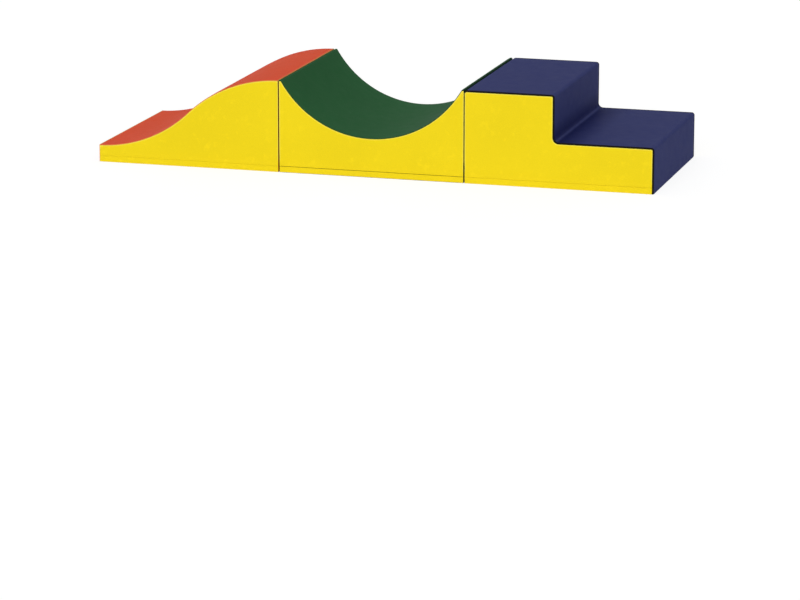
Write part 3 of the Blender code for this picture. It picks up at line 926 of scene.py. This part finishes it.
# Painted light on the end edges' trim: a tan painted highlight on the ramp, dark green painted shade on the
# valley.
TRIM_HIGHLIGHT_AND_SHADE = {"ramp": (0.800, 0.440, 0.120), "valley": (0.010, 0.024, 0.012)}
STITCH_PITCH = 0.0045
STITCH_RADIUS = 0.00022
STITCH_SLANT = 0.0005
STITCH_BITE = 0.0003
STITCH_SIDES = 5
STITCH_PROFILE = ((0.0, 0.4), (0.15, 1.0), (0.85, 1.0), (1.0, 0.4))
SEAM_FOOT = 0.0020
CLOTH_ROUGHNESS = 0.85
CLOTH_GLOSS = 0.05
WEAVE_HEIGHT = 0.00002
WEAVE_WANDER = 0.4
TAPE_WEAVE = 700.0
THREAD_WEAVE = 1500.0
HEM_WEAVE = 900.0
FUZZ_SCALE = 900.0
FUZZ_SPAN = (0.3, 0.7)
FUZZ_PALE = 1.25
FUZZ_DARK = 0.75
DIAGONAL = math.sqrt(0.5)
# Painted shade: each block's tape is coloured as the shade down in its seam groove.
TAPE_GROOVE_SHADE = {
    "ramp": (0.620, 0.250, 0.050),
    "valley": (0.022, 0.032, 0.004),
    "steps": (0.010, 0.009, 0.006),
}
# Painted shade: the threads across the groove are coloured as its shade.
THREAD_GROOVE_SHADE = {
    "ramp": (0.680, 0.300, 0.070),
    "valley": (0.060, 0.080, 0.010),
    "steps": (0.020, 0.018, 0.020),
}
# Painted light and shade of the hem seams: dark olive painted shade in the valley's open seam, a bright
# yellow on the ramp that hides its seam's shade, a slightly darker yellow on the steps.
HEM_SEAM_LIGHT_AND_SHADE = {
    "ramp": (0.950, 0.740, 0.020),
    "valley": (0.090, 0.070, 0.004),
    "steps": (0.700, 0.540, 0.012),
}


def woven(name, colour, thread_scale, roughness=CLOTH_ROUGHNESS):
    """Plain woven cloth: threads over and under each other, with a slight fuzz in the colour."""
    material, tree, shader = principled(name, Roughness=roughness, Specular_IOR_Level=CLOTH_GLOSS)
    height = 1.0
    for direction in ("X", "Y", "Z"):
        threads = waves(tree, thread_scale, WEAVE_WANDER, direction=direction)
        height = combined(tree, "MULTIPLY", height, threads)
    fuzz = noise(tree, FUZZ_SCALE, FINE_DETAIL)
    dark, pale = toned(colour, FUZZ_DARK), toned(colour, FUZZ_PALE)
    shade = blended(tree, remap(tree, fuzz, FUZZ_SPAN), dark, pale)
    relief = bumped(tree, height, WEAVE_HEIGHT, bumped(tree, fuzz, WEAVE_HEIGHT))
    dressed(tree, shader, Base_Color=shade, Normal=relief)
    return material


def merged(parts):
    """Several (points, faces) as one."""
    points, faces = [], []
    for some_points, some_faces in parts:
        start = len(points)
        points += some_points
        faces += [tuple(start + i for i in face) for face in some_faces]
    return points, faces


def swept(rings):
    """A closed solid through rings of as many points each, with a face at both ends."""
    rows = stacked(len(rings[0]), len(rings))
    faces = [tuple(rows[0]), tuple(rows[-1])]
    for lower, upper in zip(rows, rows[1:]):
        faces += faces_between(lower, upper)
    return [point for ring in rings for point in ring], faces


def circle(centre, radius, side, other, sides):
    """Points round a centre, in the plane of two ways."""
    turns = [4 * QUARTER * i / sides for i in range(sides)]
    return [centre + (side * math.cos(a) + other * math.sin(a)) * radius for a in turns]


def rung(start, end):
    """One bite of thread from start to end, thinner where it goes into the sheet."""
    along = (end - start).normalized()
    side = along.orthogonal().normalized()
    other = along.cross(side)
    rings = []
    for share, thickness in STITCH_PROFILE:
        rings.append(circle(start.lerp(end, share), STITCH_RADIUS * thickness, side, other, STITCH_SIDES))
    return swept(rings)


def sewn_along(path, spans, depths, sunk, halves, rises):
    """The seam tape and the rungs along a path on the blocks' edge. At each point of the path, span is
    the way from one sheet to the other, depth is the way in, sunk is how far in the tape lies, half
    is half the groove's width and rise is how far the tape's middle stands up out of it."""
    tape = []
    for point, span, depth, deep, half, rise in zip(path, spans, depths, sunk, halves, rises):
        wide = half + TAPE_OVERLAP
        seat = deep + STITCH_RADIUS
        upper = [(a * wide, seat - rise * (1 - a * a)) for a in TAPE_CREASES]
        lower = [(a * wide, seat + TAPE_THICKNESS) for a in reversed(TAPE_CREASES)]
        tape.append([point + span * across + depth * down for across, down in upper + lower])
    if max(rises) > 0:
        return swept(tape), ([], [])
    gone = gone_along(path)
    rungs = []
    k = 0
    for i in range(1, int(gone[-1] / STITCH_PITCH)):
        reach = i * STITCH_PITCH
        while gone[k + 1] < reach:
            k += 1
        share = (reach - gone[k]) / (gone[k + 1] - gone[k])
        centre = path[k].lerp(path[k + 1], share)
        centre += depths[k].lerp(depths[k + 1], share) * sunk[k]
        across = spans[k].lerp(spans[k + 1], share) * (halves[k] + STITCH_BITE)
        slant = (path[k + 1] - path[k]).normalized() * STITCH_SLANT
        rungs.append(rung(centre - across - slant, centre + across + slant))
    return swept(tape), merged(rungs)


def edge_seam(path, first_ways, second_ways, block, rise):
    """A seam along a square edge, between two sheets at right angles."""
    depths = [(a + b) * DIAGONAL for a, b in zip(first_ways, second_ways)]
    spans = [(a - b) * DIAGONAL for a, b in zip(first_ways, second_ways)]
    flat = rolled_edge(block)[-1][0]
    upright = [1.0 if abs(depth.z) < DIAGONAL / 2 else 0.0 for depth in depths]
    shares = [u * joint_share(block, p.x - CENTRE[block]) for u, p in zip(upright, path)]
    moves = [share * (GROOVE[block] - TIGHT_GROOVE) / math.sqrt(2) for share in shares]
    sunk = [(flat - move + ROLL) / 2 / DIAGONAL for move in moves]
    halves = [GROOVE[block] / 2 - move / math.sqrt(2) for move in moves]
    return sewn_along(path, spans, depths, sunk, halves, [rise * (1 - share) for share in shares])


def add_seam(name, seams, block, finishes):
    for kind, shapes, finish in zip(("tape", "thread"), zip(*seams), finishes):
        points, faces = merged(shapes)
        points = [leaning(block, point) for point in points]
        if points:
            make_piece(f"{name}_{kind}", points, faces, finish, block, "zip_tape")


def long_seams(block, side):
    """The seam round a side panel and the hem seam under it, on the front, side -1, or the back."""
    line = [point for point in SIDE_LINES[block] if point.y > SEAM_FOOT]
    line = refined([(line[0].x, SEAM_FOOT)] + line + [(line[-1].x, SEAM_FOOT)])
    path = [Vector((CENTRE[block] + p.x, side * WIDTH / 2, p.y)) for p in line]
    inward = [Vector((0, -side, 0))] * len(path)
    down = [Vector((-way.x, 0, -way.y)) for way in ways_out(line, False)]
    end = LENGTH / 2 - crest(block) - ROLL
    level = [CENTRE[block] + x for x, _ in refined([(-end, 0), (end, 0)])]
    hem = [Vector((x, side * WIDTH / 2, SEAM[block])) for x in level]
    count = len(hem)
    up = [Vector((0, 0, 1))] * count
    half = OPENING[block] / 2 + ROLL * (1 - DIAGONAL)
    sunk = ROLL * (1 + DIAGONAL)
    hem_seam = sewn_along(hem, up, [inward[0]] * count, [sunk] * count, [half] * count, [0.0] * count)
    return edge_seam(path, inward, down, block, WELT_RISE[block]), hem_seam


def cross_seam(block, side, height):
    """The seam across the top edge at the left end, side -1, or the right, side 1."""
    end = WIDTH / 2 - crest(block) - ROLL
    x = CENTRE[block] + side * LENGTH / 2
    path = [Vector((x, y, height)) for y, _ in refined([(-end, 0), (end, 0)])]
    inward = [Vector((-side, 0, 0))] * len(path)
    return edge_seam(path, inward, [Vector((0, 0, -1))] * len(path), block, TRIM_RISE[block])


for block in BLOCKS:
    tape = woven(f"{block}_seam_tape", TAPE_GROOVE_SHADE[block], TAPE_WEAVE)
    thread = woven(f"{block}_thread", THREAD_GROOVE_SHADE[block], THREAD_WEAVE)
    hem_finish = woven(f"{block}_hem_thread", HEM_SEAM_LIGHT_AND_SHADE[block], HEM_WEAVE)
    for place_name, side in SIDES:
        edge, hem = long_seams(block, side)
        add_seam(f"{block}_seam_{place_name}", [edge], block, (tape, thread))
        add_seam(f"{block}_hem_seam_{place_name}", [hem], block, (hem_finish, hem_finish))
for block, left, right in (("ramp", RAMP_LOW, HEIGHT), ("valley", HEIGHT, HEIGHT)):
    ends = [cross_seam(block, -1, left), cross_seam(block, 1, right)]
    # The trim's colour is a painted highlight on the ramp and painted shade on the valley.
    trim = woven(f"{block}_trim", TRIM_HIGHLIGHT_AND_SHADE[block], TAPE_WEAVE)
    add_seam(f"{block}_end_seam", ends, block, (trim, trim))

# Base panels
# Black non-slip cloth with rubber dots printed on it, sewn to the covers' lower edges. In the middle
# it turns up into a narrow well, with a ledge round a window, and the zip is sewn on that ledge.
BASE_TUCK = 0.0011
BASE_UNDERSIDE = 0.0004
BASE_WEAVE = 500.0
WINDOW_MARGIN = 0.0015
WELL_CORNER = 0.0006
WELL_CORNER_STEPS = 4
SHARP_FOLD = math.radians(40)
DOT_PITCH = 0.025
DOT_RADIUS = 0.0032
DOT_PROFILE = ((1.0, BASE_TUCK / 2), (1.0, BASE_UNDERSIDE / 2), (0.62, 0.0))
DOT_SIDES = 10
DOT_MARGIN = 0.012
BASE_CLOTH = (0.030, 0.030, 0.033)
RUBBER = {
    "colour": (0.012, 0.012, 0.013),
    "dusty": 1.8,
    "fleck_scale": 140.0,
    "fleck_span": (0.4, 0.7),
    "gloss": 0.5,
    "roughness": (0.38, 0.57),
}


def rounded_ring(half_x, half_y, corner, z):
    """A rectangle with rounded corners, flat at the height z."""
    ring = []
    for turn, (sign_x, sign_y) in enumerate(((1, 1), (-1, 1), (-1, -1), (1, -1))):
        for i in range(WELL_CORNER_STEPS + 1):
            angle = QUARTER * (turn + i / WELL_CORNER_STEPS)
            x = sign_x * (half_x - corner) + corner * math.cos(angle)
            y = sign_y * (half_y - corner) + corner * math.sin(angle)
            ring.append(Vector((x, y, z)))
    return ring


def at_home(block, points):
    return [point + Vector((CENTRE[block], 0, 0)) for point in points]


def base_sheet(block, finish):
    """The sheet as rings, from the window's edge under the ledge, down the well and out to the edge,
    then back over the top to the window. Gives half the well's length and width."""
    top = box_sides(f"{block}_base_panel")[2][1]
    tape = box_sides(f"{block}_zip_tape_back")
    well_x = tape[0][1] - CENTRE[block] + PIECE_GAP
    well_y = tape[1][1] + PIECE_GAP / 2
    window_y = box_sides(f"{block}_zip_slider")[1][1] + WINDOW_MARGIN
    window_x = well_x - (well_y - window_y)
    wall_x, wall_y = well_x - COVER, well_y - COVER
    edge_x, edge_y = LENGTH / 2 - BASE_TUCK, WIDTH / 2 - BASE_TUCK
    stations = (
        (window_x, window_y, top - COVER),
        (wall_x, wall_y, top - COVER),
        (wall_x, wall_y, BASE_UNDERSIDE + WELL_CORNER),
        (wall_x + WELL_CORNER / 2, wall_y + WELL_CORNER / 2, BASE_UNDERSIDE),
        (edge_x, edge_y, BASE_UNDERSIDE),
        (edge_x, edge_y, COVER),
        (well_x, well_y, COVER),
        (well_x, well_y, top),
        (window_x, window_y, top),
    )
    rings = [rounded_ring(half_x, half_y, WELL_CORNER, z) for half_x, half_y, z in stations]
    rows = stacked(len(rings[0]), len(rings))
    faces = []
    for here, ahead in zip(rows, rows[1:] + rows[:1]):
        faces += faces_between(here, ahead)
    points = at_home(block, [point for ring in rings for point in ring])
    name, node = f"{block}_non_slip_base", f"{block}_base_panel"
    piece = make_piece(name, points, faces, finish, block, "base_sheet", [node])
    piece.data.set_sharp_from_angle(angle=SHARP_FOLD)
    return well_x, well_y


def rubber_dots(block, well_x, well_y, finish):
    """Printed dots from the cloth down to the floor, in shifted rows, but for the zip's well and the
    rim."""
    parts = []
    reach = int((LENGTH / 2 - DOT_MARGIN) / DOT_PITCH)
    ahead, left = Vector((1, 0, 0)), Vector((0, 1, 0))
    for i in range(-reach, reach + 1):
        for j in range(-reach, reach + 1):
            x, y = i * DOT_PITCH, (j + 0.5 * (i % 2)) * DOT_PITCH
            over_well = abs(y) < well_y + DOT_MARGIN / 2 and abs(x) < well_x + DOT_MARGIN / 2
            if not over_well and abs(y) < WIDTH / 2 - DOT_MARGIN:
                rings = []
                for share, z in DOT_PROFILE:
                    rings.append(circle(Vector((x, y, z)), DOT_RADIUS * share, ahead, left, DOT_SIDES))
                parts.append(swept(rings))
    points, faces = merged(parts)
    make_piece(f"{block}_rubber_dots", at_home(block, points), faces, finish, block, "base_sheet")


def flecked(name, colour, dusty, fleck_scale, fleck_span, gloss, roughness, grain=()):
    """A dark moulding with flecks of dust or haze, and a fine grain if its scale and depth are given."""
    material, tree, shader = principled(name, Specular_IOR_Level=gloss)
    flecks = remap(tree, noise(tree, fleck_scale, FINE_DETAIL), fleck_span)
    dressed(tree, shader, Base_Color=blended(tree, flecks, toned(colour), toned(colour, dusty)))
    dressed(tree, shader, Roughness=remap(tree, flecks, (0.0, 1.0), roughness))
    for grain_scale, depth in grain:
        dressed(tree, shader, Normal=bumped(tree, noise(tree, grain_scale), depth))
    return material


base_cloth = woven("base_cloth", BASE_CLOTH, BASE_WEAVE)
rubber = flecked("printed_rubber", **RUBBER)
for block in BLOCKS:
    rubber_dots(block, *base_sheet(block, base_cloth), rubber)

# Zips
# A coil zip as long as the block: two woven polyester tapes, a nylon coil sewn along each, and a
# nickel slider and pull with a pressed stop at each end. The slider closes towards the right end.
COIL_PITCH = 0.0020
COIL_WIDTH = 0.0008
COIL_HEAD = 0.0004
COIL_MARGIN = 0.0001
COIL_STATIONS = (
    (1.0, 0.8, 0.55),
    (0.88, 1.0, 0.90),
    (0.34, 0.75, 0.80),
    (0.10, 1.0, 0.95),
    (0.0, 0.8, 0.60),
)
COIL_SECTION = ((-1, -0.6), (-0.6, -1), (0.6, -1), (1, -0.6), (1, 0.6), (0.6, 1), (-0.6, 1), (-1, 0.6))
COIL_START = {-1: 0.25, 1: 0.75}
TAPE_CORD = 0.0012
TAPE_THIN_SHARE = 0.22
TAPE_RIPPLE = 0.00008
TAPE_RIPPLE_PITCH = 0.013
ZIP_BLACK = (0.018, 0.018, 0.020)
NYLON = {
    "colour": (0.022, 0.022, 0.024),
    "dusty": 1.6,
    "fleck_scale": 320.0,
    "fleck_span": (0.35, 0.65),
    "gloss": 0.4,
    "roughness": (0.36, 0.52),
    "grain": [(900.0, 0.00001)],
}
NICKEL = (0.62, 0.60, 0.56, 1.0)
NICKEL_WORN = (0.80, 0.76, 0.68, 1.0)
NICKEL_WEAR_SCALE = 260.0
NICKEL_WEAR_DETAIL = 4.0
NICKEL_WEAR_SPAN = (0.50, 0.68)
NICKEL_ROUGHNESS = (0.26, 0.42)
SCRATCH_SCALE = 420.0
SCRATCH_WANDER = 14.0
SCRATCH_DEPTH = 0.000006
METAL_PARTS = ("zip_slider", "zip_pull", "zip_stop_open_end", "zip_stop_closed_end")


def coil_row(block, place_name, side, finish):
    """One nylon tooth a pitch, from its root on the tape to its head between the other row's heads."""
    node = f"{block}_zip_teeth_{place_name}"
    teeth = box_sides(node)
    low, high = teeth[2]
    middle, half = (low + high) / 2, (high - low) / 2 - COIL_MARGIN
    outer = max(abs(y) for y in teeth[1])
    parts = []
    for i in range(int((teeth[0][1] - teeth[0][0]) / COIL_PITCH)):
        x = teeth[0][0] + (i + COIL_START[side]) * COIL_PITCH
        rings = []
        for reach, width, height in COIL_STATIONS:
            y = side * (reach * (outer + COIL_HEAD) - COIL_HEAD)
            across, up = width * COIL_WIDTH / 2, height * half
            rings.append([Vector((x + a * across, y, middle + b * up)) for a, b in COIL_SECTION])
        parts.append(swept(rings))
    name = f"{block}_zip_coil_{place_name}"
    make_piece(name, *merged(parts), finish, block, "zip_teeth", [node])


def zip_cloth(block, place_name, side, finish):
    """A woven tape, a little thicker at the cord along its inner edge, with a slight ripple."""
    node = f"{block}_zip_tape_{place_name}"
    tape = box_sides(node)
    inner = min(abs(y) for y in tape[1])
    outer = max(abs(y) for y in tape[1])
    low, high = tape[2]
    thin = (high - low) * TAPE_THIN_SHARE
    cord, cloth = inner + TAPE_CORD / 2, inner + TAPE_CORD
    outline = [(inner, low + thin), (cord, low), (cloth, low + thin), (outer, low + thin)]
    outline += [(outer, high - thin), (cloth, high - thin), (cord, high), (inner, high - thin)]
    steps = math.ceil((tape[0][1] - tape[0][0]) / GRID)
    rings = []
    for i in range(steps + 1):
        x = tape[0][0] + (tape[0][1] - tape[0][0]) * i / steps
        ripple = TAPE_RIPPLE * math.sin(4 * QUARTER * x / TAPE_RIPPLE_PITCH)
        rings.append([Vector((x, side * y, z + ripple * (y - inner) / (outer - inner))) for y, z in outline])
    name = f"{block}_zip_cloth_{place_name}"
    piece = make_piece(name, *swept(rings), finish, block, "zip_tape", [node])
    piece.data.set_sharp_from_angle(angle=SHARP_FOLD)


def brushed_nickel():
    """Tumbled nickel plate: fine scratches all ways, worn a little warmer on the high spots."""
    material, tree, shader = principled("brushed_nickel", Metallic=1.0)
    wear = remap(tree, noise(tree, NICKEL_WEAR_SCALE, NICKEL_WEAR_DETAIL), NICKEL_WEAR_SPAN)
    scratches = waves(tree, SCRATCH_SCALE, SCRATCH_WANDER, FINE_DETAIL)
    dressed(tree, shader, Base_Color=blended(tree, wear, NICKEL, NICKEL_WORN))
    dressed(tree, shader, Roughness=remap(tree, scratches, (0.0, 1.0), NICKEL_ROUGHNESS))
    dressed(tree, shader, Normal=bumped(tree, scratches, SCRATCH_DEPTH))
    return material


zip_tape_cloth = woven("zip_tape_cloth", ZIP_BLACK, HEM_WEAVE)
coil_nylon = flecked("moulded_nylon", **NYLON)
nickel = brushed_nickel()
for block in BLOCKS:
    for place_name, side in SIDES:
        coil_row(block, place_name, side, coil_nylon)
        zip_cloth(block, place_name, side, zip_tape_cloth)
    for metal in METAL_PARTS:
        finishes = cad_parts[f"{block}_{metal}"].data.materials
        finishes.clear()
        finishes.append(nickel)

# Hook-and-loop strips
# Black woven strips, sewn low on the ends that face each other: rows of nylon hooks on one block and
# a fuzzy loop pile on the next. They hold the row together and pull apart by hand.
WEB_SHARE = 0.45
SELVAGE = 0.0030
WEB_PROFILE = ((0.0, -0.1), (0.0, 0.25), (SELVAGE / 3, 0.40), (SELVAGE, WEB_SHARE))
WEB_WEAVE = 800.0
HOOK_PITCH = 0.0045
HOOK_ROW_PITCH = 0.0022
HOOK_LENGTH = 0.0016
HOOK_WIDTH = 0.0008
HOOK_PROFILE = ((-0.5, WEB_SHARE - 0.15, 1.0), (-0.2, 0.75, 1.0), (0.5, 1.0, 0.7))
PILE_GRID = 0.0022
PILE_CLUMP = 320.0
PILE_RIM = WEB_SHARE - 0.1
PILE_UNDER = WEB_SHARE - 0.2
PILE_LOW = WEB_SHARE + (1 - WEB_SHARE) * 0.55
PILE_WEAVE = 1400.0
PILE_ROUGHNESS = 0.98
STRIP_STITCH_PITCH = 0.0035
STRIP_STITCH_SPAN = (0.2, 0.8)
STRIP_BLACK = (0.020, 0.020, 0.022)
HOOK_BLACK = (0.030, 0.030, 0.034)


def strip_place(block, side, sheet_box):
    """Turns a place on a strip, from its middle along, up and out, into a place on the block's end."""
    (near, far), (left, right), (low, high) = sheet_box
    face = CENTRE[block] + side * LENGTH / 2
    depth = max(abs(near - face), abs(far - face))

    def place(along, up, out_share):
        return Vector((face + side * depth * out_share, (left + right) / 2 + along, (low + high) / 2 + up))

    return place, (right - left) / 2, (high - low) / 2


def web(place, half_y, half_z):
    """The woven strip itself: a thin slab with its rim pressed down by the stitches."""
    rings = []
    for inset, out_share in WEB_PROFILE:
        ring = rounded_ring(half_y - inset, half_z - inset, SELVAGE / 3, 0)
        rings.append([place(point.x, point.y, out_share) for point in ring])
    return swept(rings)


def hooks(place, half_y, half_z):
    """Rows of small nylon hooks, bent the same way, with each row shifted by half a pitch."""
    parts = []
    across = int((half_z - SELVAGE) / HOOK_ROW_PITCH)
    along = int((half_y - SELVAGE) / HOOK_PITCH)
    for row in range(-across, across + 1):
        for k in range(-along, along):
            y = (k + 0.5 * (row % 2)) * HOOK_PITCH
            z = row * HOOK_ROW_PITCH
            rings = []
            for shift, out_share, width in HOOK_PROFILE:
                middle = y + shift * HOOK_LENGTH
                size = HOOK_WIDTH * width / 2
                rings.append([place(middle + a * size, z + b * size, out_share) for a, b in SQUARE])
            parts.append(swept(rings))
    return merged(parts)


def pile(place, half_y, half_z):
    """The loop pile: a soft uneven mat that falls away at its rim."""
    half_y, half_z = half_y - SELVAGE, half_z - SELVAGE
    wide = math.ceil(2 * half_z / PILE_GRID)
    long = math.ceil(2 * half_y / PILE_GRID)
    points = []
    for i in range(long + 1):
        for j in range(wide + 1):
            y, z = half_y * (2 * i / long - 1), half_z * (2 * j / wide - 1)
            clump = (1 + gentle.noise(Vector((y, z, 0)) * PILE_CLUMP)) / 2
            on_rim = i in (0, long) or j in (0, wide)
            points.append(place(y, z, PILE_RIM if on_rim else PILE_LOW + (1 - PILE_LOW) * clump))
    under = len(points)
    points += [place(p * half_y, q * half_z, PILE_UNDER) for p, q in SQUARE]
    step = wide + 1
    faces = grid_faces(long + 1, step)
    faces.append((*range(0, step), under + 3, under))
    faces.append((*range(long * step, (long + 1) * step), under + 2, under + 1))
    faces.append((*range(0, (long + 1) * step, step), under + 1, under))
    faces.append((*range(wide, (long + 1) * step, step), under + 2, under + 3))
    faces.append((under, under + 1, under + 2, under + 3))
    return points, faces


def strip_stitches(place, half_y, half_z):
    """One line of running stitches round the strip, in its selvage."""
    y, z = half_y - SELVAGE / 2, half_z - SELVAGE / 2
    corners = [(a * y, b * z) for a, b in SQUARE]
    parts = []
    for start, end in zip(corners, corners[1:] + corners[:1]):
        count = int(math.dist(start, end) / STRIP_STITCH_PITCH)
        for k in range(count):
            spots = [Vector(start).lerp(Vector(end), (k + share) / count) for share in STRIP_STITCH_SPAN]
            parts.append(rung(*(place(spot.x, spot.y, WEB_SHARE) for spot in spots)))
    return merged(parts)


strip_cloth = woven("strip_cloth", STRIP_BLACK, WEB_WEAVE)
hook_nylon = flecked("moulded_nylon", **NYLON)
loop_pile = woven("loop_pile", HOOK_BLACK, PILE_WEAVE, PILE_ROUGHNESS)
strip_thread = woven("strip_thread", STRIP_BLACK, THREAD_WEAVE)
for node, block, side in (
    ("ramp_hook_strip", "ramp", 1),
    ("valley_loop_strip", "valley", -1),
    ("valley_hook_strip", "valley", 1),
    ("steps_loop_strip", "steps", -1),
):
    strip = strip_place(block, side, box_sides(node))
    make_piece(f"{node}_web", *web(*strip), strip_cloth, block, "grip_tape", [node])
    if "hook" in node:
        make_piece(f"{node}_hooks", *hooks(*strip), hook_nylon, block, "grip_tape")
    else:
        make_piece(f"{node}_pile", *pile(*strip), loop_pile, block, "grip_tape")
    make_piece(f"{node}_stitches", *strip_stitches(*strip), strip_thread, block, "grip_tape")
